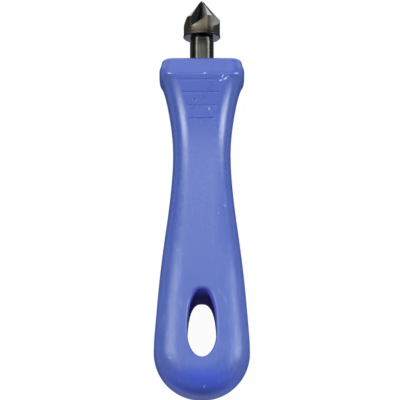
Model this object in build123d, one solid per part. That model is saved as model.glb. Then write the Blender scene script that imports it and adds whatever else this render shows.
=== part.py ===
from build123d import *
import math
import os

# Hand countersink: a hardened steel 82 degree countersink bit held for good in a
# one-piece moulded plastic handle.
# The tool lies on the broad back of its handle. X is across, Y runs along the
# tool with the cutting tip towards +Y, Z is up, and the origin is under the
# middle of the tool on the surface it lies on. All lengths are millimetres.

# ---------------------------------------------------------------- dimensions
# handle, measured from its front end face along the tool
HANDLE_LEN = 117.19            # end face to the end of the tail
TAIL_R = 16.09                 # half-round tail seen from above
TAIL_CENTRE = HANDLE_LEN - TAIL_R
HALF_THICK = 10.02             # half thickness before the broad faces are flatted
SHOULDER_T = 10.09             # the same at the shoulder, so that its crest is flatted too
FLAT_AT = 10.0                 # half thickness over the flats
END_HALF_W, END_HALF_T = 13.23, 7.3   # half width and half thickness of the end face
CREASE = 6.3                   # where the front bevels meet the shoulder
CORNER_EXP = 2.3               # exponent of the section's corners
EDGE_R = 1.0                   # moulded edge round on the end face
CREASE_R = 1.2                 # round where bevel meets shoulder

# (distance from end face, half width)
WIDTHS = [
    (0.0, END_HALF_W), (2.1, 13.70), (4.2, 14.30), (6.3, 14.05), (8.2, 13.18),
    (10.9, 12.37), (14.2, 11.63), (17.8, 10.98), (21.3, 10.46), (24.9, 10.04),
    (28.6, 9.77), (32.2, 9.67), (36.0, 9.73), (41.0, 10.01), (48.0, 10.64),
    (55.0, 11.48), (62.0, 12.43), (69.0, 13.33), (74.0, 13.91), (78.0, 14.32),
    (82.0, 14.70), (86.0, 15.04), (90.0, 15.38), (94.0, 15.70), (97.6, 15.97),
    (TAIL_CENTRE, TAIL_R),
]
# (distance, half thickness): full at the shoulder, waisted for the fingers, full
# again from before the hanging hole to the tail
THICKS = [
    (0.0, END_HALF_T), (2.1, 8.23), (4.2, 9.16), (6.3, SHOULDER_T), (8.2, 9.82),
    (10.9, 9.53), (14.2, 9.18), (17.8, 8.85), (21.3, 8.60), (24.9, 8.42),
    (28.6, 8.31), (32.2, 8.27), (36.0, 8.28), (41.0, 8.37), (48.0, 8.63),
    (55.0, 8.99), (62.0, 9.38), (69.0, 9.76), (74.0, 9.96), (78.0, HALF_THICK),
    (TAIL_CENTRE, HALF_THICK),
]
# (distance, flat share of the half width, flat share of the half thickness)
FLATS = [
    (0.0, 0.72, 0.40), (6.3, 0.68, 0.36), (8.2, 0.60, 0.30), (10.9, 0.53, 0.24),
    (14.2, 0.47, 0.19), (17.8, 0.42, 0.15), (21.3, 0.39, 0.12), (28.6, 0.36, 0.10),
    (48.0, 0.36, 0.10), (69.0, 0.38, 0.10), (86.0, 0.41, 0.10), (TAIL_CENTRE, 0.42, 0.10),
]

# hanging hole: egg-shaped throat, widest HOLE_WIDE_AT behind the end face
HOLE_FRONT, HOLE_BACK = 81.75, 105.3
HOLE_WIDE_AT, HOLE_HALF_W = 97.0, 4.82
HOLE_EXP_FRONT, HOLE_EXP_BACK = 2.6, 2.0
HOLE_EDGE_R = 0.9

# four fine grooves across the front of the grip: (distance, from x, to x)
GROOVES = [(8.6, -8.6, 4.8), (12.9, -6.6, 6.1), (17.5, -4.3, 4.8), (21.9, -3.9, 4.1)]
GROOVE_W, GROOVE_D = 0.5, 0.28

# countersink bit
HEAD_R = 6.1                   # 12.2 mm head
POINT_ANGLE = 82.0             # included angle of the cone, degrees
CONE_H = HEAD_R / math.tan(math.radians(POINT_ANGLE / 2))
HEAD_BODY = 6.47               # cone's base to the underside of the head
RIM_R, RIM_H, RIM_EASE = 6.25, 0.6, 0.5   # low collar at the foot of the head
SHANK_R = 4.0                  # 8 mm shank
BIT_LEN = 56.0                 # tip to shank end
TIP_FLAT_R = 0.25              # ground flat at the very tip
NECK_R, NECK_LEN = 3.85, 1.7   # grinding neck under the head
UNDER_CHAMFER = 0.3
SHANK_CHAMFER = 0.5
FLUTES = 5
FIRST_RAKE = -31.5             # azimuth of the first rake face from +Z towards +X, degrees
RAKE_AHEAD = 0.5               # rake faces stand this far ahead of the axis
CUTTER_R = 12.60               # grinding wheel radius at the rake face
CUTTER_OUT, CUTTER_UP = 12.98, 7.02   # wheel centre from the axis, and above the cone's base
CUTTER_TAPER = 0.264           # wheel radius lost for each millimetre from the rake face
CUTTER_T = 9.0
EXPOSED = 22.22                # tip to the handle's end face

# placing
OVERALL = EXPOSED + HANDLE_LEN
Y_END_FACE = OVERALL / 2 - EXPOSED
Z_MID = FLAT_AT


# ---------------------------------------------------------------- helpers
def table(rows, s, column=1):
    """Smooth value of a table at distance s (monotone cubic between its rows)."""
    xs = [r[0] for r in rows]
    ys = [r[column] for r in rows]
    if s <= xs[0]:
        return ys[0]
    if s >= xs[-1]:
        return ys[-1]
    h = [xs[i + 1] - xs[i] for i in range(len(xs) - 1)]
    d = [(ys[i + 1] - ys[i]) / h[i] for i in range(len(xs) - 1)]
    m = [d[0]]
    for i in range(1, len(xs) - 1):
        if d[i - 1] * d[i] <= 0:
            m.append(0.0)
        else:
            w1, w2 = 2 * h[i] + h[i - 1], h[i] + 2 * h[i - 1]
            m.append((w1 + w2) / (w1 / d[i - 1] + w2 / d[i]))
    m.append(d[-1])
    i = max(k for k in range(len(xs) - 1) if xs[k] <= s)
    t = (s - xs[i]) / h[i]
    return (
        (2 * t**3 - 3 * t**2 + 1) * ys[i]
        + (t**3 - 2 * t**2 + t) * h[i] * m[i]
        + (-2 * t**3 + 3 * t**2) * ys[i + 1]
        + (t**3 - t**2) * h[i] * m[i + 1]
    )


def shape_at(s):
    return table(WIDTHS, s), table(THICKS, s), table(FLATS, s), table(FLATS, s, 2)


def corner_edge(s):
    """One rounded corner of the section at distance s, from the upper broad flat
    round to the side flat on the +X side."""
    a, b, f, g = shape_at(s)
    n = 9
    pts = []
    for k in range(n):
        t = math.pi / 2 * k / (n - 1)
        u = max(math.sin(t), 0.0) ** (2 / CORNER_EXP)
        v = max(math.cos(t), 0.0) ** (2 / CORNER_EXP)
        pts.append(Vector(a * (f + (1 - f) * u), Y_END_FACE - s, Z_MID + b * (g + (1 - g) * v)))
    return Edge.make_spline(pts, tangents=[Vector(1, 0, 0), Vector(0, 0, -1)])


def section(s):
    """Closed section of the grip at distance s: flats joined by four eased corners,
    which are one corner and its mirror images."""
    level = Plane(origin=(0, 0, Z_MID), z_dir=(0, 0, 1))
    upper_right = corner_edge(s)
    lower_right = upper_right.mirror(level)
    upper_left, lower_left = upper_right.mirror(Plane.YZ), lower_right.mirror(Plane.YZ)
    return Face(Wire([
        upper_right, Edge.make_line(upper_right @ 1, lower_right @ 1),
        lower_right, Edge.make_line(lower_right @ 0, lower_left @ 0),
        lower_left, Edge.make_line(lower_left @ 1, upper_left @ 1),
        upper_left, Edge.make_line(upper_left @ 0, upper_right @ 0),
    ]))


# ---------------------------------------------------------------- handle
front = loft([section(s) for s in (0.0, 2.1, 4.2, CREASE)])
grip = loft([section(r[0]) for r in WIDTHS if CREASE <= r[0] <= 86.0])
rear = loft([section(r[0]) for r in WIDTHS if 86.0 <= r[0]])

# tail: half of the last section turned about the upright axis of the tail's centre
y_tail = Y_END_FACE - TAIL_CENTRE
upper = corner_edge(TAIL_CENTRE)
lower = upper.mirror(Plane(origin=(0, 0, Z_MID), z_dir=(0, 0, 1)))
top_c, bot_c = Vector(0, y_tail, (upper @ 0).Z), Vector(0, y_tail, (lower @ 0).Z)
half = Face(Wire([
    Edge.make_line(top_c, upper @ 0), upper, Edge.make_line(upper @ 1, lower @ 1),
    lower, Edge.make_line(lower @ 0, bot_c), Edge.make_line(bot_c, top_c),
]))
tail = revolve(half, Axis((0, y_tail, 0), (0, 0, -1)), 180)
body = front + grip + rear + tail

# moulded rounds on the end face's rim and on the crease of the bevels
y_crease = Y_END_FACE - CREASE
for y, radius in ((Y_END_FACE, EDGE_R), (y_crease, CREASE_R)):
    ring = [e for e in body.edges()
            if abs(e.center().Y - y) < 0.01 and e.bounding_box().size.Y < 0.01]
    body = fillet(ring, radius)

# both broad faces are flat, so that the handle lies steady
slab = Box(4 * TAIL_R, 2 * OVERALL, 2 * FLAT_AT)
body = body & (Pos(0, 0, Z_MID) * slab)

# hanging hole, its throat straight through and both mouths rounded
def hole_half_width(s):
    if s < HOLE_WIDE_AT:
        q, p = (HOLE_WIDE_AT - s) / (HOLE_WIDE_AT - HOLE_FRONT), HOLE_EXP_FRONT
    else:
        q, p = (s - HOLE_WIDE_AT) / (HOLE_BACK - HOLE_WIDE_AT), HOLE_EXP_BACK
    return HOLE_HALF_W * max(1 - q**p, 0.0) ** (1 / p)


def hole_side(n=11):
    """Points down the +X side of the throat, closer together towards its ends."""
    pts = []
    for k in range(n):
        c = math.cos(math.pi * k / (n - 1))
        s = (HOLE_FRONT + HOLE_BACK) / 2 - c * (HOLE_BACK - HOLE_FRONT) / 2
        pts.append((hole_half_width(s), Y_END_FACE - s))
    return pts


side = hole_side()
loop = [Vector(x, y, -1) for x, y in side] + [Vector(-x, y, -1) for x, y in side[-2:0:-1]]
throat = extrude(Face(Wire([Edge.make_spline(loop, periodic=True)])), 2 * FLAT_AT + 2,
                 dir=(0, 0, 1))
body = body - throat
def on_mouth(e):
    box = e.bounding_box()
    level = min(abs(box.min.Z - Z_MID - FLAT_AT), abs(box.max.Z - Z_MID + FLAT_AT))
    return (level < 0.01 and box.size.Z < 0.01 and box.max.X < HOLE_HALF_W + 0.1
            and box.min.X > -HOLE_HALF_W - 0.1
            and box.min.Y > Y_END_FACE - HOLE_BACK - 0.1
            and box.max.Y < Y_END_FACE - HOLE_FRONT + 0.1)


mouths = [e for e in body.edges() if on_mouth(e)]
body = fillet(mouths, HOLE_EDGE_R)

# fine grooves across the front of the grip
for s, x0, x1 in GROOVES:
    r = GROOVE_W / 2
    z = Z_MID + table(THICKS, s) + r - GROOVE_D
    y = Y_END_FACE - s
    bar = Pos((x0 + x1) / 2, y, z) * Rot(0, 90, 0) * Cylinder(r, x1 - x0 - 2 * r)
    bar += Pos(x0 + r, y, z) * Sphere(r)
    bar += Pos(x1 - r, y, z) * Sphere(r)
    body = body - bar

# blind socket for the shank
depth = BIT_LEN - EXPOSED
socket = Pos(0, Y_END_FACE + 1, Z_MID) * Rot(90, 0, 0) * Cylinder(
    SHANK_R, depth + 1, align=(Align.CENTER, Align.CENTER, Align.MIN))
handle = body - socket

# ---------------------------------------------------------------- countersink bit
# turned about its own upright axis, cone's base at zero, then laid along the tool
under = -HEAD_BODY
tip = CONE_H * (1 - TIP_FLAT_R / HEAD_R)
end = tip - BIT_LEN
profile = [
    (0, tip), (TIP_FLAT_R, tip), (HEAD_R, 0),
    (HEAD_R, under + RIM_H + RIM_EASE), (RIM_R, under + RIM_H),
    (RIM_R, under + UNDER_CHAMFER), (RIM_R - UNDER_CHAMFER, under),
    (NECK_R, under), (NECK_R, under - NECK_LEN + (SHANK_R - NECK_R)),
    (SHANK_R, under - NECK_LEN),
    (SHANK_R, end + SHANK_CHAMFER), (SHANK_R - SHANK_CHAMFER, end), (0, end),
]
blank = revolve(Face(Wire.make_polygon([Vector(x, 0, z) for x, z in profile])), Axis.Z, 360)
bit = blank
for k in range(FLUTES):
    turn = math.radians(FIRST_RAKE + 360 / FLUTES * k - 90)
    out = Vector(math.cos(turn), math.sin(turn), 0)
    along = Vector(-math.sin(turn), math.cos(turn), 0)
    at = Plane(origin=out * CUTTER_OUT - along * RAKE_AHEAD + Vector(0, 0, CUTTER_UP), x_dir=(0, 0, 1), z_dir=along)
    wheel = at * Cone(CUTTER_R, CUTTER_R - CUTTER_TAPER * CUTTER_T, CUTTER_T,
                      align=(Align.CENTER, Align.CENTER, Align.MIN))
    bit = bit - wheel
bit = Pos(0, Y_END_FACE + EXPOSED - tip, Z_MID) * Rot(-90, 0, 0) * bit

# ---------------------------------------------------------------- write
os.makedirs("parts", exist_ok=True)
for name, shape in (("handle", handle), ("countersink_bit", bit)):
    solids = shape.solids()
    print(name, len(solids), [round(s.volume, 1) for s in solids], shape.bounding_box())
    export_step(solids[0] if len(solids) == 1 else shape, f"parts/{name}.step")
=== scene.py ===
import math

import bmesh
import bpy
import numpy as np
from mathutils import Matrix, Vector


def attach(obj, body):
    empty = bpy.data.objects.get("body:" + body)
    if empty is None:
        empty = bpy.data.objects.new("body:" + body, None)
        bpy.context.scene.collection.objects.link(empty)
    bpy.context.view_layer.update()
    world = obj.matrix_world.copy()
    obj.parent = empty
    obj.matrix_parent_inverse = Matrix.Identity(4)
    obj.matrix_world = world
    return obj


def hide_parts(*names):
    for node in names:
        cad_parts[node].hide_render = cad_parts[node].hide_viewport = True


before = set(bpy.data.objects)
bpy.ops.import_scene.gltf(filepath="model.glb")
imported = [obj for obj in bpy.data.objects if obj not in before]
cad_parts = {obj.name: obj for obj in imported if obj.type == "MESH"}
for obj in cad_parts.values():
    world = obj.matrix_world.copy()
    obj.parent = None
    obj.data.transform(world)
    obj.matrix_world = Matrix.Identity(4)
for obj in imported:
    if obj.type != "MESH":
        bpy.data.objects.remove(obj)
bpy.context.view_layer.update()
MM = 0.001

# ---------------------------------------------------------------- shape numbers, in millimetres
# The same numbers as the CAD: s is the distance behind the handle's end face,
# x is across, z is measured from the handle's middle plane.
HANDLE_LEN, TAIL_R = 117.19, 16.09
TAIL_CENTRE = HANDLE_LEN - TAIL_R
Z_MID = 10.0
CREASE = 6.3
EXPOSED = 22.22
Y_END = (EXPOSED + HANDLE_LEN) / 2 - EXPOSED
CORNER_EXP = 2.3
WIDTHS = [
    (0.0, 13.23), (2.1, 13.70), (4.2, 14.30), (6.3, 14.05), (8.2, 13.18),
    (10.9, 12.37), (14.2, 11.63), (17.8, 10.98), (21.3, 10.46), (24.9, 10.04),
    (28.6, 9.77), (32.2, 9.67), (36.0, 9.73), (41.0, 10.01), (48.0, 10.64),
    (55.0, 11.48), (62.0, 12.43), (69.0, 13.33), (74.0, 13.91), (78.0, 14.32),
    (82.0, 14.70), (86.0, 15.04), (90.0, 15.38), (94.0, 15.70), (97.6, 15.97),
    (TAIL_CENTRE, TAIL_R),
]
THICKS = [
    (0.0, 7.30), (2.1, 8.21), (4.2, 9.11), (6.3, 10.02), (8.2, 9.82), (10.9, 9.53),
    (14.2, 9.18), (17.8, 8.85), (21.3, 8.60), (24.9, 8.42), (28.6, 8.31), (32.2, 8.27),
    (36.0, 8.28), (41.0, 8.37), (48.0, 8.63), (55.0, 8.99), (62.0, 9.38),
    (69.0, 9.76), (74.0, 9.96), (78.0, 10.02), (TAIL_CENTRE, 10.02),
]
FLATS = [
    (0.0, 0.72, 0.40), (6.3, 0.68, 0.36), (8.2, 0.60, 0.30), (10.9, 0.53, 0.24),
    (14.2, 0.47, 0.19), (17.8, 0.42, 0.15), (21.3, 0.39, 0.12), (28.6, 0.36, 0.10),
    (48.0, 0.36, 0.10), (69.0, 0.38, 0.10), (86.0, 0.41, 0.10), (TAIL_CENTRE, 0.42, 0.10),
]
HOLE_FRONT, HOLE_BACK, HOLE_WIDE_AT, HOLE_HALF_W = 81.75, 105.3, 97.0, 4.82
GROOVES = [(8.6, -8.6, 4.8), (12.9, -6.6, 6.1), (17.5, -4.3, 4.8), (21.9, -3.9, 4.1)]
SOCKET_R, SOCKET_LEN = 4.0, 33.78

SKIN = 0.012  # the visual surface stays this far inside the CAD's box


def monotone(rows, column, at):
    """Monotone cubic through a table's rows, at an array of distances."""
    xs = np.array([r[0] for r in rows])
    ys = np.array([r[column] for r in rows])
    h = np.diff(xs)
    d = np.diff(ys) / h
    m = np.zeros(len(xs))
    m[0], m[-1] = d[0], d[-1]
    for i in range(1, len(xs) - 1):
        if d[i - 1] * d[i] > 0:
            w1, w2 = 2 * h[i] + h[i - 1], h[i] + 2 * h[i - 1]
            m[i] = (w1 + w2) / (w1 / d[i - 1] + w2 / d[i])
    at = np.clip(at, xs[0], xs[-1])
    i = np.clip(np.searchsorted(xs, at, side="right") - 1, 0, len(xs) - 2)
    t = (at - xs[i]) / h[i]
    return (
        (2 * t**3 - 3 * t**2 + 1) * ys[i]
        + (t**3 - 2 * t**2 + t) * h[i] * m[i]
        + (-2 * t**3 + 3 * t**2) * ys[i + 1]
        + (t**3 - t**2) * h[i] * m[i + 1]
    )


FINE = np.arange(-3.0, TAIL_CENTRE + 3.0, 0.02)


def eased(values, centre, reach):
    """A table's fine values with the corner at centre rounded over +-reach."""
    n = int(round(reach / 0.02))
    kernel = np.hanning(2 * n + 3)[1:-1]
    kernel /= kernel.sum()
    smooth = np.convolve(np.pad(values, n, mode="edge"), kernel, mode="valid")
    blend = np.clip((2.5 * reach - np.abs(FINE - centre)) / reach, 0, 1)
    return values * (1 - blend) + smooth * blend


def front_line(rows, column):
    """Like monotone, but carried on in a straight line ahead of the end face."""
    v = monotone(rows, column, FINE)
    slope = (rows[1][column] - rows[0][column]) / (rows[1][0] - rows[0][0])
    return np.where(FINE < 0, rows[0][column] + slope * FINE, v)


FINE_A = eased(front_line(WIDTHS, 1), 5.3, 1.0) - SKIN
half_thick = front_line(THICKS, 1)
straight = (FINE > 0) & (FINE < CREASE)
half_thick[straight] = 7.30 + (10.02 - 7.30) * FINE[straight] / CREASE
FINE_B = eased(half_thick, CREASE, 0.75) - SKIN - 0.01
FINE_F = monotone(FLATS, 1, FINE)
FINE_G = monotone(FLATS, 2, FINE)


def rounded_and(a, b, r):
    """Both insides, the edge between them rounded by radius r."""
    u, v = np.maximum(a + r, 0), np.maximum(b + r, 0)
    return np.minimum(np.maximum(a, b), -r) + np.sqrt(u * u + v * v)


# small dents and gouges in the upper face: (x, s, half length, half width, angle
# from +x in degrees, depth), all in millimetres
DENTS = [
    (6.30, 8.83, 0.55, 0.26, 35, 0.16), (6.97, 7.35, 0.40, 0.24, -60, 0.15),
    (7.80, 8.16, 0.45, 0.28, 50, 0.17), (7.05, 8.35, 0.90, 0.70, 20, 0.06),
    (8.60, 7.70, 0.60, 0.16, -10, 0.06), (-2.40, 15.5, 0.42, 0.34, 20, 0.22),
    (2.45, 18.5, 0.34, 0.22, 80, 0.12), (0.94, 6.46, 0.36, 0.26, 0, 0.12),
    (5.30, 55.2, 0.50, 0.30, 70, 0.14), (7.64, 52.6, 0.34, 0.24, 0, 0.10),
    (0.78, 115.1, 0.40, 0.30, 40, 0.14), (-10.5, 105.3, 0.55, 0.45, 0, 0.07),
]


def handle_field(x, s, z):
    """Below zero inside the handle, in millimetres from its surface close to it."""
    k = np.clip((s - FINE[0]) / 0.02, 0, len(FINE) - 1.001)
    i = k.astype(np.int64)
    w = k - i
    a = FINE_A[i] * (1 - w) + FINE_A[i + 1] * w
    b = FINE_B[i] * (1 - w) + FINE_B[i + 1] * w
    f = FINE_F[i] * (1 - w) + FINE_F[i + 1] * w
    g = FINE_G[i] * (1 - w) + FINE_G[i + 1] * w
    back = np.maximum(s - TAIL_CENTRE, 0)
    r = np.sqrt(x * x + back * back)
    u = np.maximum(r - f * a, 0) / ((1 - f) * a)
    v = np.maximum(np.abs(z) - g * b, 0) / ((1 - g) * b)
    m = CORNER_EXP
    total = np.maximum((u**m + v**m) ** (1 / m), 1e-6)
    gu = (u / total) ** (m - 1) / ((1 - f) * a)
    gv = (v / total) ** (m - 1) / ((1 - g) * b)
    d = (total - 1) / np.maximum(np.sqrt(gu * gu + gv * gv), 1e-3)
    # end face with its moulded edge
    d = rounded_and(d, -s, 1.0)
    # hanging hole with both mouths rounded
    near = (s > HOLE_FRONT - 4) & (s < HOLE_BACK + 4) & (np.abs(x) < HOLE_HALF_W + 4)
    if near.any():
        xs, ss = np.abs(x[near]), s[near]
        ahead = ss < HOLE_WIDE_AT
        length = np.where(ahead, HOLE_WIDE_AT - HOLE_FRONT, HOLE_BACK - HOLE_WIDE_AT)
        p = np.where(ahead, 2.6, 2.0)
        q, c = np.abs(ss - HOLE_WIDE_AT) / length, xs / HOLE_HALF_W
        e = np.maximum((q**p + c**p) ** (1 / p), 0.05)
        slope = np.sqrt(((q / e) ** (p - 1) / length) ** 2 + ((c / e) ** (p - 1) / HOLE_HALF_W) ** 2)
        d[near] = rounded_and(d[near], -(e - 1) / slope, 0.9)
    # socket for the shank
    near = (s < SOCKET_LEN + 1) & (np.abs(z) < 6) & (np.abs(x) < 6)
    if near.any():
        bore = SOCKET_R + 0.03 - np.sqrt(x[near] ** 2 + z[near] ** 2)
        bore = np.minimum(bore, SOCKET_LEN + 0.03 - s[near])
        d[near] = rounded_and(d[near], bore, 0.22)
    # grooves across the front of the grip
    for at, x0, x1 in GROOVES:
        near = (np.abs(s - at) < 1.2) & (z > 6) & (x > x0 - 1) & (x < x1 + 1)
        if near.any():
            top = float(np.interp(at, FINE, FINE_B)) + 0.12
            dx = x[near] - np.clip(x[near], x0 + 0.25, x1 - 0.25)
            ds, dz = s[near] - at, z[near] - top
            bar = 0.25 - np.sqrt(dx * dx + ds * ds + dz * dz)
            d[near] = rounded_and(d[near], bar, 0.14)
    for dx0, ds0, long, wide, turn, depth in DENTS:
        near = (np.abs(s - ds0) < 3 * long) & (np.abs(x - dx0) < 3 * long) & (z > 4)
        if near.any():
            c, n = math.cos(math.radians(turn)), math.sin(math.radians(turn))
            p, q = x[near] - dx0, s[near] - ds0
            p, q = (p * c + q * n) / long, (-p * n + q * c) / wide
            d[near] += depth * np.exp(-(p**4) - q * q)
    return d


def steps(spans):
    """Grid lines from a list of (start, end, spacing)."""
    out = []
    for lo, hi, step in spans:
        n = max(1, int(round((hi - lo) / step)))
        out.extend(lo + (hi - lo) * k / n for k in range(n))
    out.append(spans[-1][1])
    return np.array(out)


def surface_net(field, xs, ss, zs):
    """Quads round the zero surface of field on a grid of uneven spacing."""
    nx, ns, nz = len(xs), len(ss), len(zs)
    f = np.empty((nx, ns, nz))
    for j in range(0, ns, 24):
        part = ss[j : j + 24]
        gx, gs, gz = np.meshgrid(xs, part, zs, indexing="ij")
        f[:, j : j + 24, :] = field(gx.ravel(), gs.ravel(), gz.ravel()).reshape(gx.shape)
    f = np.where(np.abs(f) < 1e-9, 1e-9, f)
    inside = f < 0
    count = np.zeros((nx - 1, ns - 1, nz - 1), np.int16)
    total = np.zeros((nx - 1, ns - 1, nz - 1, 3))
    grid = (xs, ss, zs)
    for axis in range(3):
        lo = [slice(None)] * 3
        hi = [slice(None)] * 3
        lo[axis], hi[axis] = slice(0, -1), slice(1, None)
        fa, fb = f[tuple(lo)], f[tuple(hi)]
        cross = (fa < 0) != (fb < 0)
        idx = np.argwhere(cross)
        t = fa[cross] / (fa[cross] - fb[cross])
        pos = np.stack([grid[k][idx[:, k]] for k in range(3)], 1).astype(float)
        step = grid[axis][idx[:, axis] + 1] - grid[axis][idx[:, axis]]
        pos[:, axis] += t * step
        others = [k for k in range(3) if k != axis]
        for da in (0, -1):
            for db in (0, -1):
                cell = idx.copy()
                cell[:, others[0]] += da
                cell[:, others[1]] += db
                ok = np.all((cell >= 0) & (cell < np.array([nx - 1, ns - 1, nz - 1])), 1)
                c = cell[ok]
                np.add.at(count, (c[:, 0], c[:, 1], c[:, 2]), 1)
                np.add.at(total, (c[:, 0], c[:, 1], c[:, 2]), pos[ok])
    active = count > 0
    index = np.full(active.shape, -1, np.int64)
    index[active] = np.arange(active.sum())
    verts = total[active] / count[active][:, None]
    quads = []
    for axis in range(3):
        lo = [slice(None)] * 3
        hi = [slice(None)] * 3
        lo[axis], hi[axis] = slice(0, -1), slice(1, None)
        ia, ib = inside[tuple(lo)], inside[tuple(hi)]
        for way, flip in ((ia & ~ib, False), (~ia & ib, True)):
            idx = np.argwhere(way)
            b, c = (axis + 1) % 3, (axis + 2) % 3
            ok = (idx[:, b] > 0) & (idx[:, c] > 0)
            idx = idx[ok]
            corner = []
            for db, dc in ((-1, -1), (0, -1), (0, 0), (-1, 0)):
                cell = idx.copy()
                cell[:, b] += db
                cell[:, c] += dc
                corner.append(index[cell[:, 0], cell[:, 1], cell[:, 2]])
            q = np.stack(corner, 1)
            quads.append(q[:, ::-1] if flip else q)
    return verts, np.concatenate(quads)


def gradient(field, p, h=0.01):
    out = np.empty_like(p)
    for k in range(3):
        a, b = p.copy(), p.copy()
        a[:, k] += h
        b[:, k] -= h
        out[:, k] = (field(a[:, 0], a[:, 1], a[:, 2]) - field(b[:, 0], b[:, 1], b[:, 2])) / (2 * h)
    return out


def settle(field, p, rounds=3):
    """Moves points onto the zero surface."""
    for _ in range(rounds):
        g = gradient(field, p)
        f = field(p[:, 0], p[:, 1], p[:, 2])
        move = (f / np.maximum((g * g).sum(1), 1e-2))[:, None] * g
        size = np.sqrt((move * move).sum(1))
        move *= np.minimum(1, 0.3 / np.maximum(size, 1e-9))[:, None]
        p = p - move
    return p


def relax(field, p, quads, rounds, share):
    """Evens the points out along the surface."""
    a = np.concatenate([quads[:, k] for k in range(4)])
    b = np.concatenate([quads[:, (k + 1) % 4] for k in range(4)])
    a, b = np.concatenate([a, b]), np.concatenate([b, a])
    n = np.bincount(a, minlength=len(p)).astype(float)
    for _ in range(rounds):
        mean = np.stack([np.bincount(a, weights=p[b, k], minlength=len(p)) for k in range(3)], 1) / n[:, None]
        g = gradient(field, p)
        g /= np.maximum(np.sqrt((g * g).sum(1)), 1e-9)[:, None]
        step = (mean - p) * share
        step -= (step * g).sum(1)[:, None] * g
        p = settle(field, p + step, 1)
    return p


def mesh_object(name, co, faces, normals=None):
    me = bpy.data.meshes.new(name)
    me.from_pydata(co.tolist(), [], faces.tolist())
    me.validate()
    me.polygons.foreach_set("use_smooth", np.ones(len(me.polygons), bool))
    if normals is not None:
        me.normals_split_custom_set_from_vertices(normals.tolist())
    me.update()
    o = bpy.data.objects.new(name, me)
    bpy.context.scene.collection.objects.link(o)
    return o


# ---------------------------------------------------------------- handle
def build_handle():
    c = 0.46
    close = 0.2
    fine = 0.14
    xs = steps([
        (-16.8, -3.0, c), (-3.0, -1.8, close), (-1.8, 0.4, c), (0.4, 3.0, close),
        (3.0, 4.8, c), (4.8, 9.2, close), (9.2, 16.8, c),
    ])
    zones = [(5.4, 8.1, close), (8.1, 9.1, fine), (9.1, 9.5, close), (12.4, 13.4, fine),
             (15.0, 16.1, close), (17.0, 18.0, fine), (18.0, 19.0, close), (21.4, 22.4, fine),
             (52.2, 53.0, close), (54.6, 55.8, close), (114.6, 115.7, close)]
    spans, at = [(-0.6, 1.6, close), (1.6, 5.4, c)], 5.4
    for lo, hi, step in zones:
        if lo > at:
            spans.append((at, lo, c))
        spans.append((lo, hi, step))
        at = hi
    spans.append((at, HANDLE_LEN + 0.8, c))
    ss = steps(spans)
    zs = steps([(-10.7, 10.7, c)])
    p, quads = surface_net(handle_field, xs, ss, zs)
    p = settle(handle_field, p, 4)
    p = relax(handle_field, p, quads, 3, 0.5)
    p = settle(handle_field, p, 3)
    n = gradient(handle_field, p, 0.02)
    n /= np.maximum(np.sqrt((n * n).sum(1)), 1e-9)[:, None]
    co = np.stack([p[:, 0], Y_END - p[:, 1], Z_MID + p[:, 2]], 1) * MM
    no = np.stack([n[:, 0], -n[:, 1], n[:, 2]], 1)
    return mesh_object("handle_moulding", co, quads[:, ::-1], no)


# ---------------------------------------------------------------- countersink bit
HEAD_R, HEAD_BODY = 6.1, 6.47
CONE_H = HEAD_R / math.tan(math.radians(41))
RIM_R, RIM_H, RIM_EASE = 6.25, 0.6, 0.5
SHANK_R, BIT_LEN, TIP_FLAT_R = 4.0, 56.0, 0.25
NECK_R, NECK_LEN, UNDER_CHAMFER, SHANK_CHAMFER = 3.85, 1.7, 0.3, 0.5
FLUTES, FIRST_RAKE, RAKE_AHEAD = 5, -31.5, 0.5
CUTTER_R, CUTTER_OUT, CUTTER_UP, CUTTER_TAPER, CUTTER_T = 12.60, 12.98, 7.02, 0.264, 9.0
TIP = CONE_H * (1 - TIP_FLAT_R / HEAD_R)


def turned(name, profile, n):
    """A closed solid turned round the local z axis from (radius, height) pairs, first and last on the axis."""
    verts, faces, rings = [], [], []
    for r, z in profile:
        if r < 1e-9:
            rings.append([len(verts)])
            verts.append((0, 0, z))
        else:
            rings.append(list(range(len(verts), len(verts) + n)))
            verts.extend((r * math.cos(2 * math.pi * k / n), r * math.sin(2 * math.pi * k / n), z) for k in range(n))
    for a, b in zip(rings, rings[1:]):
        for k in range(n):
            m = (k + 1) % n
            if len(a) == 1:
                faces.append((a[0], b[k], b[m]))
            elif len(b) == 1:
                faces.append((a[m], a[k], b[0]))
            else:
                faces.append((a[m], a[k], b[k], b[m]))
    me = bpy.data.meshes.new(name)
    me.from_pydata(verts, [], faces)
    me.validate()
    bm = bmesh.new()
    bm.from_mesh(me)
    bmesh.ops.recalc_face_normals(bm, faces=bm.faces)
    bm.to_mesh(me)
    bm.free()
    o = bpy.data.objects.new(name, me)
    bpy.context.scene.collection.objects.link(o)
    return o


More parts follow.
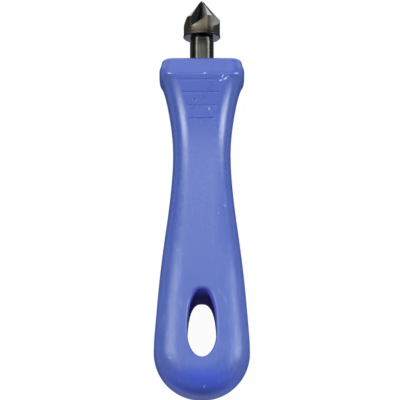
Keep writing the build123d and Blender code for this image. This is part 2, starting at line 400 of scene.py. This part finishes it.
def build_bit():
    under, end = -HEAD_BODY, TIP - BIT_LEN
    body = [(0.0, TIP), (TIP_FLAT_R, TIP)]
    for k in range(1, 13):  # the cone in short lengths, for even shading
        t = k / 12
        body.append((TIP_FLAT_R + (HEAD_R - TIP_FLAT_R) * t, TIP * (1 - t)))
    body += [
        (HEAD_R, under / 2), (HEAD_R, under + RIM_H + RIM_EASE),
        (RIM_R - 0.03, under + RIM_H + 0.05), (RIM_R, under + RIM_H - 0.05),
        (RIM_R, under + UNDER_CHAMFER), (RIM_R - UNDER_CHAMFER, under),
        (NECK_R + 0.12, under), (NECK_R, under - 0.12),
        (NECK_R, under - NECK_LEN + (SHANK_R - NECK_R)), (SHANK_R, under - NECK_LEN),
        (SHANK_R, -16.0), (SHANK_R, end + SHANK_CHAMFER), (SHANK_R - SHANK_CHAMFER, end), (0.0, end),
    ]
    blank = turned("countersink_cutter", body, 180)
    wheels = []
    for k in range(FLUTES):
        turn = math.radians(FIRST_RAKE + 360 / FLUTES * k - 90)
        out = Vector((math.cos(turn), math.sin(turn), 0))
        along = Vector((-math.sin(turn), math.cos(turn), 0))
        wheel = turned("wheel", [(0.0, 0.0), (CUTTER_R, 0.0), (CUTTER_R - CUTTER_TAPER * CUTTER_T, CUTTER_T), (0.0, CUTTER_T)], 320)
        z = along
        x = Vector((0, 0, 1))
        y = z.cross(x)
        at = out * CUTTER_OUT - along * RAKE_AHEAD + Vector((0, 0, CUTTER_UP))
        for v in wheel.data.vertices:
            v.co = at + x * v.co.x + y * v.co.y + z * v.co.z
        wheels.append(wheel)
        m = blank.modifiers.new(f"flute{k}", "BOOLEAN")
        m.operation, m.object, m.solver = "DIFFERENCE", wheel, "EXACT"
    bpy.context.view_layer.update()
    dg = bpy.context.evaluated_depsgraph_get()
    made = bpy.data.meshes.new_from_object(blank.evaluated_get(dg))
    blank.modifiers.clear()
    blank.data = made
    for w in wheels:
        bpy.data.objects.remove(w)
    # laid along the tool
    y0 = Y_END + EXPOSED - TIP
    for v in made.vertices:
        x, y, z = v.co
        v.co = Vector((x, z + y0, Z_MID - y)) * MM
    bm = bmesh.new()
    bm.from_mesh(made)
    bmesh.ops.remove_doubles(bm, verts=bm.verts, dist=5e-7)
    bmesh.ops.dissolve_degenerate(bm, edges=bm.edges, dist=5e-7)
    bmesh.ops.recalc_face_normals(bm, faces=bm.faces)
    bm.to_mesh(made)
    bm.free()
    made.polygons.foreach_set("use_smooth", np.ones(len(made.polygons), bool))
    made.set_sharp_from_angle(angle=math.radians(24))
    made.update()
    return blank


handle = build_handle()
bit = build_bit()
print("handle", len(handle.data.vertices), len(handle.data.polygons), "bit", len(bit.data.vertices), len(bit.data.polygons))


# ---------------------------------------------------------------- materials
class Nodes:
    """Short ways to add nodes to a material."""

    def __init__(self, name):
        self.mat = bpy.data.materials.new(name)
        self.mat.use_nodes = True
        self.tree = self.mat.node_tree
        self.tree.nodes.clear()
        self.out = self.tree.nodes.new("ShaderNodeOutputMaterial")
        self.bsdf = self.tree.nodes.new("ShaderNodeBsdfPrincipled")
        self.tree.links.new(self.bsdf.outputs["BSDF"], self.out.inputs["Surface"])
        self.pos = self.tree.nodes.new("ShaderNodeTexCoord").outputs["Object"]

    def put(self, socket, value):
        if isinstance(value, bpy.types.NodeSocket):
            self.tree.links.new(value, socket)
        else:
            socket.default_value = value

    def math(self, op, a, b=None, c=None, clamp=False):
        n = self.tree.nodes.new("ShaderNodeMath")
        n.operation, n.use_clamp = op, clamp
        for i, v in enumerate((a, b, c)):
            if v is not None:
                self.put(n.inputs[i], v)
        return n.outputs[0]

    def vmath(self, op, a, b=None, scale=None):
        n = self.tree.nodes.new("ShaderNodeVectorMath")
        n.operation = op
        self.put(n.inputs[0], a)
        if b is not None:
            self.put(n.inputs[1], b)
        if scale is not None:
            self.put(n.inputs["Scale"], scale)
        return n

    def scaled(self, sx, sy, sz, offset=(0, 0, 0)):
        n = self.tree.nodes.new("ShaderNodeMapping")
        self.put(n.inputs["Vector"], self.pos)
        n.inputs["Scale"].default_value = (sx, sy, sz)
        n.inputs["Location"].default_value = offset
        return n.outputs[0]

    def noise(self, vector, scale=1.0, detail=3.0, rough=0.5):
        n = self.tree.nodes.new("ShaderNodeTexNoise")
        self.put(n.inputs["Vector"], vector)
        n.inputs["Scale"].default_value = scale
        n.inputs["Detail"].default_value = detail
        n.inputs["Roughness"].default_value = rough
        return n.outputs["Fac"]

    def ramp(self, fac, lo, hi, out_lo=0.0, out_hi=1.0, smooth=True):
        n = self.tree.nodes.new("ShaderNodeMapRange")
        n.interpolation_type = "SMOOTHSTEP" if smooth else "LINEAR"
        self.put(n.inputs["Value"], fac)
        for key, v in (("From Min", lo), ("From Max", hi), ("To Min", out_lo), ("To Max", out_hi)):
            n.inputs[key].default_value = v
        return n.outputs["Result"]

    def mix(self, fac, a, b):
        n = self.tree.nodes.new("ShaderNodeMix")
        n.data_type = "RGBA"
        self.put(n.inputs["Factor"], fac)
        self.put(n.inputs[6], a)
        self.put(n.inputs[7], b)
        return n.outputs[2]

    def bump(self, height, distance, strength=1.0, normal=None):
        n = self.tree.nodes.new("ShaderNodeBump")
        n.inputs["Distance"].default_value = distance
        n.inputs["Strength"].default_value = strength
        self.put(n.inputs["Height"], height)
        if normal is not None:
            self.put(n.inputs["Normal"], normal)
        return n.outputs["Normal"]


def rgb(r, g, b):
    """sRGB 0-255 to a linear colour."""
    def lin(c):
        c /= 255
        return c / 12.92 if c <= 0.04045 else ((c + 0.055) / 1.055) ** 2.4
    return (lin(r), lin(g), lin(b), 1.0)


# marks on the upper face: (x, s, x, s, half width, strength), millimetres
NICKS_AND_PAINTED_GLINTS = [  # bruised paler
    (6.00, 9.00, 6.60, 8.66, 0.22, 0.9), (6.85, 7.60, 7.10, 7.05, 0.20, 0.8),
    (7.50, 8.45, 8.10, 7.90, 0.24, 1.0), (8.20, 7.75, 9.10, 7.62, 0.16, 0.4),
    (0.80, 6.45, 1.10, 6.45, 0.26, 0.9), (2.45, 18.2, 2.45, 18.9, 0.20, 0.6),
    (5.30, 54.9, 5.30, 55.5, 0.18, 0.5), (7.50, 52.6, 7.80, 52.6, 0.16, 0.35),
    (0.70, 115.3, 0.95, 114.9, 0.20, 0.7), (-10.9, 105.2, -10.4, 104.6, 0.16, 0.45),
    # the two marks at the shoulder corners at s 6.3 on the next line are painted highlights, not bruises
    (-11.25, 6.3, -10.9, 6.3, 0.30, 0.5), (11.2, 6.3, 12.2, 6.3, 0.24, 0.6),
    (-8.2, 68.4, -7.5, 67.6, 0.22, 0.12), (-7.0, 69.6, -6.3, 69.9, 0.22, 0.12),
]
SCRATCHES = [  # wide and faint rubs
    (5.5, 82.1, 6.8, 83.9, 0.42, 0.30), (6.8, 83.9, 8.1, 86.6, 0.42, 0.30),
    (8.1, 86.6, 8.6, 91.0, 0.40, 0.18), (-8.9, 66.0, -8.6, 82.0, 0.75, 0.16),
    (-7.3, 68.5, -6.9, 88.0, 0.65, 0.12), (-10.6, 84.0, -10.2, 101.0, 0.60, 0.14),
    (-9.4, 88.0, -9.1, 104.0, 0.50, 0.12), (10.0, 70.0, 10.9, 86.0, 0.60, 0.12),
    (11.0, 88.0, 11.6, 104.0, 0.60, 0.16), (9.6, 92.0, 9.9, 108.0, 0.45, 0.12),
    (3.4, 36.0, 3.6, 66.0, 0.55, 0.12), (-5.0, 36.0, -5.6, 58.0, 0.50, 0.08),
    (7.9, 48.0, 8.6, 60.0, 0.40, 0.10), (12.6, 96.0, 12.4, 106.0, 0.40, 0.12),
]
DARK = [(-2.45, 15.5, -2.35, 15.55, 0.34, 0.9), (-5.25, 33.0, -5.25, 33.1, 0.20, 0.7),
        (5.65, 55.2, 5.65, 55.5, 0.18, 0.6), (6.3, 9.5, 7.0, 9.2, 0.26, 0.5)]


def marks(n, rows):
    """The strongest of the marks at each place on the upper face."""
    split = n.tree.nodes.new("ShaderNodeSeparateXYZ")
    n.put(split.inputs[0], n.pos)
    flat = n.tree.nodes.new("ShaderNodeCombineXYZ")
    n.put(flat.inputs[0], split.outputs[0])
    n.put(flat.inputs[1], split.outputs[1])
    upper = n.ramp(split.outputs[2], 0.013, 0.015)
    best = None
    for x0, s0, x1, s1, half, strength in rows:
        a = Vector((x0, Y_END - s0, 0)) * MM
        b = Vector((x1, Y_END - s1, 0)) * MM
        d = b - a
        rel = n.vmath("SUBTRACT", flat.outputs[0], a).outputs["Vector"]
        t = n.math("MULTIPLY", n.vmath("DOT_PRODUCT", rel, d / max(d.length_squared, 1e-12)).outputs["Value"], 1.0, clamp=True)
        near = n.vmath("SCALE", d, scale=t).outputs["Vector"]
        away = n.vmath("DISTANCE", rel, near).outputs["Value"]
        one = n.ramp(away, half * 1.4 * MM, half * 0.3 * MM, 0.0, strength)
        best = one if best is None else n.math("MAXIMUM", best, one)
    return n.math("MULTIPLY", best, upper)


def plastic():
    n = Nodes("handle_plastic")
    split = n.tree.nodes.new("ShaderNodeSeparateXYZ")
    n.put(split.inputs[0], n.pos)
    px, py, pz = split.outputs
    broad = n.noise(n.scaled(60, 40, 60), 1.0, 3.0)
    fine = n.noise(n.scaled(700, 700, 700), 1.0, 2.0)
    brushed = n.noise(n.scaled(1500, 190, 900), 1.0, 3.0, 0.6)  # handling wear along the tool
    nicks_and_painted_glints, scratches, dark = marks(n, NICKS_AND_PAINTED_GLINTS), marks(n, SCRATCHES), marks(n, DARK)
    # the tail end is the most handled
    tail = n.ramp(py, (Y_END - 48) * MM, (Y_END - 88) * MM)
    crest = n.ramp(n.math("ABSOLUTE", px), 3.0 * MM, 8.0 * MM, 0.35, 1.0)
    worn = n.math("MULTIPLY", n.ramp(brushed, 0.46, 0.70), n.math("MULTIPLY_ADD", tail, 0.8, 0.2))
    worn = n.math("MULTIPLY", worn, crest)
    colour = n.mix(n.ramp(broad, 0.3, 0.7), (0.052, 0.090, 0.360, 1), (0.057, 0.098, 0.377, 1))
    # painted shade: a deeper blue painted round the lower sides and at the tail's end
    colour = n.mix(n.math("MAXIMUM", n.ramp(pz, 0.0140, 0.0100, 0.0, 0.4), n.ramp(py, (Y_END - 107) * MM, (Y_END - 115) * MM)),
                   colour, (0.046, 0.086, 0.54, 1))
    colour = n.mix(n.math("MULTIPLY", worn, 0.15), colour, (0.20, 0.29, 0.52, 1))
    rubbed = n.math("MULTIPLY", scratches, n.ramp(brushed, 0.35, 0.60, 0.4, 1.0))
    colour = n.mix(n.math("MULTIPLY", rubbed, 0.60), colour, (0.23, 0.34, 0.62, 1))
    colour = n.mix(n.math("MULTIPLY", nicks_and_painted_glints, 0.65), colour, (0.46, 0.56, 0.82, 1))
    colour = n.mix(dark, colour, (0.028, 0.036, 0.20, 1))
    # the bore is matt, and its wall is painted violet with painted light and shade: paler near the top mouth, darker
    # towards the middle
    bx = n.math("ABSOLUTE", px)
    bore = n.math("MULTIPLY", n.ramp(bx, 0.0060, 0.0054), n.ramp(n.math("ABSOLUTE", n.math("SUBTRACT", pz, 0.010)), 0.0098, 0.0088))
    bore = n.math("MULTIPLY", bore, n.math("MULTIPLY", n.ramp(py, (Y_END - 79.5) * MM, (Y_END - 80.5) * MM), n.ramp(py, (Y_END - 107.5) * MM, (Y_END - 106.5) * MM)))
    bore_painted_shading = n.mix(n.ramp(pz, 0.0188, 0.0092), (0.125, 0.135, 0.66, 1), (0.032, 0.020, 0.20, 1))
    colour = n.mix(bore, colour, bore_painted_shading)
    n.put(n.bsdf.inputs["Base Color"], colour)
    rough = n.ramp(n.math("ADD", broad, n.math("MULTIPLY", fine, 0.5)), 0.5, 1.0, 0.25, 0.30)
    rough = n.math("ADD", rough, n.math("MULTIPLY", worn, 0.10))
    rough = n.math("ADD", rough, n.math("MULTIPLY", tail, 0.09))
    rough = n.math("ADD", rough, n.math("MULTIPLY", n.math("MAXIMUM", nicks_and_painted_glints, scratches), 0.15))
    n.put(n.bsdf.inputs["Roughness"], n.math("MAXIMUM", rough, n.math("MULTIPLY", bore, 0.6)))
    n.bsdf.inputs["IOR"].default_value = 1.5
    n.put(n.bsdf.inputs["Specular IOR Level"], n.ramp(bore, 0.0, 1.0, 0.5, 0.02))
    n.bsdf.inputs["Specular Tint"].default_value = (0.93, 1.0, 0.87, 1)
    height = n.math("ADD", fine, n.math("MULTIPLY", brushed, 0.8))
    height = n.math("SUBTRACT", height, n.math("MULTIPLY", scratches, 1.5))
    n.put(n.bsdf.inputs["Normal"], n.bump(height, 0.000006, 0.35))
    return n.mat


def steel():
    n = Nodes("tool_steel")
    split = n.tree.nodes.new("ShaderNodeSeparateXYZ")
    n.put(split.inputs[0], n.pos)
    px, py, pz = split.outputs
    base = (Y_END + EXPOSED - TIP) * MM
    h = n.math("SUBTRACT", py, base)
    zz = n.math("SUBTRACT", pz, Z_MID * MM)
    r = n.math("SQRT", n.math("ADD", n.math("MULTIPLY", px, px), n.math("MULTIPLY", zz, zz)))
    # radius of the turned surface here, and how far inside it a point lies
    cone = n.math("MULTIPLY", n.math("SUBTRACT", CONE_H * MM, h), HEAD_R / CONE_H)
    skin = n.math("MINIMUM", cone, HEAD_R * MM)
    inside = n.math("SUBTRACT", skin, r)
    head = n.ramp(h, (-HEAD_BODY - 0.05) * MM, (-HEAD_BODY + 0.05) * MM)
    flute = n.math("MULTIPLY", head, n.ramp(inside, 0.03 * MM, 0.10 * MM))
    point = n.math("MULTIPLY", n.ramp(h, -0.05 * MM, 0.12 * MM), n.math("SUBTRACT", 1.0, flute))
    patch = n.noise(n.scaled(260, 180, 260), 1.0, 4.0)
    blotch = n.noise(n.scaled(900, 500, 900), 1.0, 3.0)
    rings = n.noise(n.scaled(260, 9000, 260), 1.0, 3.0)  # turned and ground round the axis
    streaks = n.noise(n.scaled(5200, 500, 5200), 1.0, 2.0)  # ground along the flutes
    mottled = n.ramp(n.math("ADD", patch, n.math("MULTIPLY", blotch, 0.5)), 0.55, 0.95)
    shank = n.mix(mottled, (0.026, 0.027, 0.023, 1), (0.036, 0.037, 0.032, 1))
    oxide_and_painted_shade = n.mix(mottled, (0.070, 0.063, 0.048, 1), (0.096, 0.084, 0.063, 1))
    # wheel marks in the flutes, with painted shade darkening them towards their roots
    ground_and_painted_shading = n.mix(n.ramp(streaks, 0.35, 0.65), (0.085, 0.090, 0.086, 1), (0.165, 0.170, 0.160, 1))
    turn = n.math("MULTIPLY_ADD", n.math("ARCTAN2", px, zz), FLUTES / (2 * math.pi), 1 - FIRST_RAKE * FLUTES / 360)
    across = n.math("FRACT", turn)  # 0 at a rake face, up to 1 at the next
    ground_and_painted_shading = n.mix(n.ramp(across, 0.74, 0.36), ground_and_painted_shading, (0.016, 0.019, 0.018, 1))
    # painted shade: the scale and upper masks are not mill scale; they darken the oxide on the +X flank of the head,
    # on its -X flank, and on the -X side of its upper part
    scale = n.math("MULTIPLY", n.ramp(px, 1.5 * MM, 2.2 * MM, 0.0, 0.90), n.ramp(px, 3.4 * MM, 4.8 * MM, 1.0, 0.45))
    scale = n.math("ADD", scale, n.ramp(px, -1.2 * MM, -3.0 * MM, 0.0, 0.40))
    upper = n.math("MULTIPLY", n.ramp(px, 0.2 * MM, -1.5 * MM, 0.0, 0.42), n.ramp(h, -4.2 * MM, -2.8 * MM))
    oxide_and_painted_shade = n.mix(n.math("MAXIMUM", scale, upper), oxide_and_painted_shade, (0.017, 0.017, 0.014, 1))
    # painted light: the flute walls on the +X side are painted paler
    ground_and_painted_shading = n.mix(n.ramp(px, 3.0 * MM, 4.2 * MM, 0.0, 0.55), ground_and_painted_shading, (0.26, 0.27, 0.26, 1))
    bright = n.mix(n.ramp(rings, 0.35, 0.65), (0.36, 0.36, 0.355, 1), (0.47, 0.47, 0.46, 1))
    # painted shadow of the head: the shank darker near the head, between its paler flanks
    shade = n.math("MULTIPLY", n.ramp(h, -(HEAD_BODY + 4.6) * MM, -(HEAD_BODY + 1.8) * MM, 0.0, 0.75),
                   n.ramp(n.math("ABSOLUTE", px), 1.7 * MM, 1.2 * MM))
    shank = n.mix(shade, shank, (0.004, 0.004, 0.003, 1))
    colour = n.mix(head, shank, oxide_and_painted_shade)
    colour = n.mix(flute, colour, ground_and_painted_shading)
    colour = n.mix(point, colour, bright)
    n.put(n.bsdf.inputs["Base Color"], colour)
    n.bsdf.inputs["Metallic"].default_value = 1.0
    rough = n.ramp(patch, 0.3, 0.7, 0.20, 0.25)
    rough = n.math("MULTIPLY_ADD", head, 0.09, rough)
    n.put(n.bsdf.inputs["Roughness"], n.math("MULTIPLY_ADD", point, -0.06, rough))
    height = n.math("MULTIPLY", rings, n.math("MULTIPLY", n.math("SUBTRACT", 1.0, flute), n.ramp(head, 0.0, 1.0, 0.2, 1.0)))
    height = n.math("ADD", height, n.math("MULTIPLY", n.math("MULTIPLY", streaks, flute), 1.0))
    n.put(n.bsdf.inputs["Normal"], n.bump(height, 0.000003, 0.4))
    return n.mat


handle.data.materials.append(plastic())
bit.data.materials.append(steel())

for piece, node, slot in ((handle, "handle", "handle_plastic"), (bit, "countersink_bit", "tool_steel")):
    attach(piece, "root")
    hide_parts(node)

# ---------------------------------------------------------------- stage
floor_mesh = bpy.data.meshes.new("floor")
R = 4.0
floor_mesh.from_pydata([(-R, -R, 0), (R, -R, 0), (R, R, 0), (-R, R, 0)], [], [(0, 1, 2, 3)])
floor = bpy.data.objects.new("floor", floor_mesh)
floor.location.z = -0.00005
bpy.context.scene.collection.objects.link(floor)
paper = bpy.data.materials.new("paper")
paper.use_nodes = True
pb = paper.node_tree.nodes["Principled BSDF"]
pb.inputs["Base Color"].default_value = (0.04, 0.04, 0.04, 1)
pb.inputs["Roughness"].default_value = 1.0
pb.inputs["Specular IOR Level"].default_value = 0.0
pb.inputs["Emission Color"].default_value = (1, 1, 1, 1)
pb.inputs["Emission Strength"].default_value = 0.965
floor_mesh.materials.append(paper)
floor.visible_glossy = False
floor.visible_diffuse = False

TILT = math.radians(17.3)
AXIS = Vector((0, -math.sin(TILT), math.cos(TILT)))
FAR = 2.5


def panel(name, x0, x1, y0, y1, radiance, tint=(1, 1, 1)):
    """A soft panel seen from the tool between x0 and x1 degrees towards +X and between
    y0 and y1 degrees from overhead towards +Y."""
    ax, ay = math.radians((x0 + x1) / 2), math.radians((y0 + y1) / 2)
    out = Vector((math.sin(ax), math.cos(ax) * math.sin(ay), math.cos(ax) * math.cos(ay)))
    side = Vector((math.cos(ax), -math.sin(ax) * math.sin(ay), -math.sin(ax) * math.cos(ay)))
    wide = 2 * FAR * math.tan(math.radians((x1 - x0) / 2))
    tall = 2 * FAR * math.tan(math.radians((y1 - y0) / 2)) * math.cos(ax)
    data = bpy.data.lights.new(name, "AREA")
    data.shape = "RECTANGLE"
    data.size, data.size_y = wide, tall
    data.energy = math.pi * radiance * wide * tall
    data.color = tint
    o = bpy.data.objects.new(name, data)
    m = Matrix((side, out.cross(side), out)).transposed().to_4x4()
    m.translation = out * FAR
    o.matrix_world = m
    o.visible_camera = False
    bpy.context.scene.collection.objects.link(o)
    return o


# a bank of softboxes overhead, brighter to both sides, and weak fills behind
PANELS = [
    ("bank_left_low", -63.7, -35.1, -3.7, 17.0, 1.6),
    ("bank_left", -52.2, -18.8, 3.9, 19.6, 15.4),
    ("bank_middle", -21.4, 32.8, 16.8, 23.5, 6.2),
    ("bank_right_inner", 35.8, 48.0, 3.3, 19.5, 17.2),
    ("bank_right", 50.0, 69.6, -2.8, 30.4, 16.3),
    ("right_end", 68.8, 80.0, -12.7, 51.6, 3.5),
    ("rear_left", -71.6, -1.6, -90.0, -54.2, 0.7),
    ("rear_right", 23.3, 78.9, -87.2, -71.4, 1.6),
    ("front_fill", -36.6, 1.3, 20.0, 85.7, 0.8),
    ("front_low", -14.5, 17.3, 56.0, 82.2, 1.0),
    ("left_fill", -66.7, -43.4, -36.4, 68.9, 0.7),
]
STRIPS = [
    ("strip_left", -54.0, -43.0, 20.0, 33.0, 22.0),
    ("strip_right", 56.0, 68.0, 30.0, 54.0, 18.0),
]
for row in PANELS:
    panel(*row)
# two strips flagged off the handle, for the lines down the polished shank
flagged = bpy.data.collections.new("flagged")
flagged.objects.link(bit)
for row in STRIPS:
    panel(*row).light_linking.receiver_collection = flagged

world = bpy.data.worlds.new("studio")
bpy.context.scene.world = world
world.use_nodes = True
wt = world.node_tree
wt.nodes.clear()
w_out = wt.nodes.new("ShaderNodeOutputWorld")
w_path = wt.nodes.new("ShaderNodeLightPath")
w_dir = wt.nodes.new("ShaderNodeTexCoord")
w_xyz = wt.nodes.new("ShaderNodeSeparateXYZ")
wt.links.new(w_dir.outputs["Generated"], w_xyz.inputs[0])
w_low = wt.nodes.new("ShaderNodeMapRange")  # 1 below the horizon, 0 above
w_low.inputs["From Min"].default_value = 0.05
w_low.inputs["From Max"].default_value = -0.15
wt.links.new(w_xyz.outputs["Z"], w_low.inputs["Value"])


def sky(colour, strength):
    n = wt.nodes.new("ShaderNodeBackground")
    n.inputs["Color"].default_value = colour
    n.inputs["Strength"].default_value = strength
    return n.outputs[0]


def blend(fac, a, b):
    n = wt.nodes.new("ShaderNodeMixShader")
    wt.links.new(fac, n.inputs[0])
    wt.links.new(a, n.inputs[1])
    wt.links.new(b, n.inputs[2])
    return n.outputs[0]


def ranged(value, lo, hi):
    n = wt.nodes.new("ShaderNodeMapRange")
    n.inputs["From Min"].default_value, n.inputs["From Max"].default_value = lo, hi
    wt.links.new(value, n.inputs["Value"])
    return n.outputs[0]


def both(a, b):
    n = wt.nodes.new("ShaderNodeMath")
    n.operation = "MULTIPLY"
    wt.links.new(a, n.inputs[0])
    wt.links.new(b, n.inputs[1])
    return n.outputs[0]


# bounce from the floor for the undersides; for reflections a dim room over a dark floor,
# with the white sweep ahead of the tool and the lit paper beneath it
soft = blend(w_low.outputs[0], sky((0.97, 0.98, 1, 1), 0.03), sky((0.95, 1.0, 1.14, 1), 0.70))
dim = blend(w_low.outputs[0], sky((0.97, 0.98, 1, 1), 0.06), sky((0.50, 0.65, 1, 1), 0.10))
ahead = both(ranged(w_xyz.outputs["Y"], 0.50, 0.66), ranged(w_xyz.outputs["Z"], 0.20, 0.05))
under = both(ranged(w_xyz.outputs["Y"], -0.05, -0.20), ranged(w_xyz.outputs["Z"], -0.60, -0.80))
aside = wt.nodes.new("ShaderNodeMath")
aside.operation = "ABSOLUTE"
wt.links.new(w_xyz.outputs["X"], aside.inputs[0])
aside = both(ranged(aside.outputs[0], 0.66, 0.84), ranged(w_xyz.outputs["Z"], -0.05, -0.25))
dim = blend(aside, dim, sky((1, 1, 1, 1), 0.45))
dim = blend(ahead, dim, sky((1, 1, 1, 1), 1.25))
dim = blend(under, dim, sky((0.80, 0.90, 1.15, 1), 0.75))
seen = blend(w_path.outputs["Is Glossy Ray"], soft, dim)
seen = blend(w_path.outputs["Is Camera Ray"], seen, sky((0.95, 0.95, 0.95, 1), 1.0))
wt.links.new(seen, w_out.inputs["Surface"])

# ---------------------------------------------------------------- camera
DISTANCE = 4.0
camera_data = bpy.data.cameras.new("camera")
camera_data.type = "PERSP"
camera_data.sensor_width = 36
camera_data.lens = 36 * DISTANCE / (400 * 0.335 * MM)
camera_data.clip_start, camera_data.clip_end = 0.1, 20
camera = bpy.data.objects.new("camera", camera_data)
bpy.context.scene.collection.objects.link(camera)
aim = Vector((-0.62, -0.435, 10.0)) * MM
camera.location = aim + AXIS * DISTANCE
camera.rotation_mode = "QUATERNION"
camera.rotation_quaternion = (-AXIS).to_track_quat("-Z", "Y")
bpy.context.scene.camera = camera

view = bpy.context.scene.view_settings
view.view_transform = "Standard"
view.look = "None"
view.exposure = 0.0
view.gamma = 1.0

bpy.context.view_layer.update()
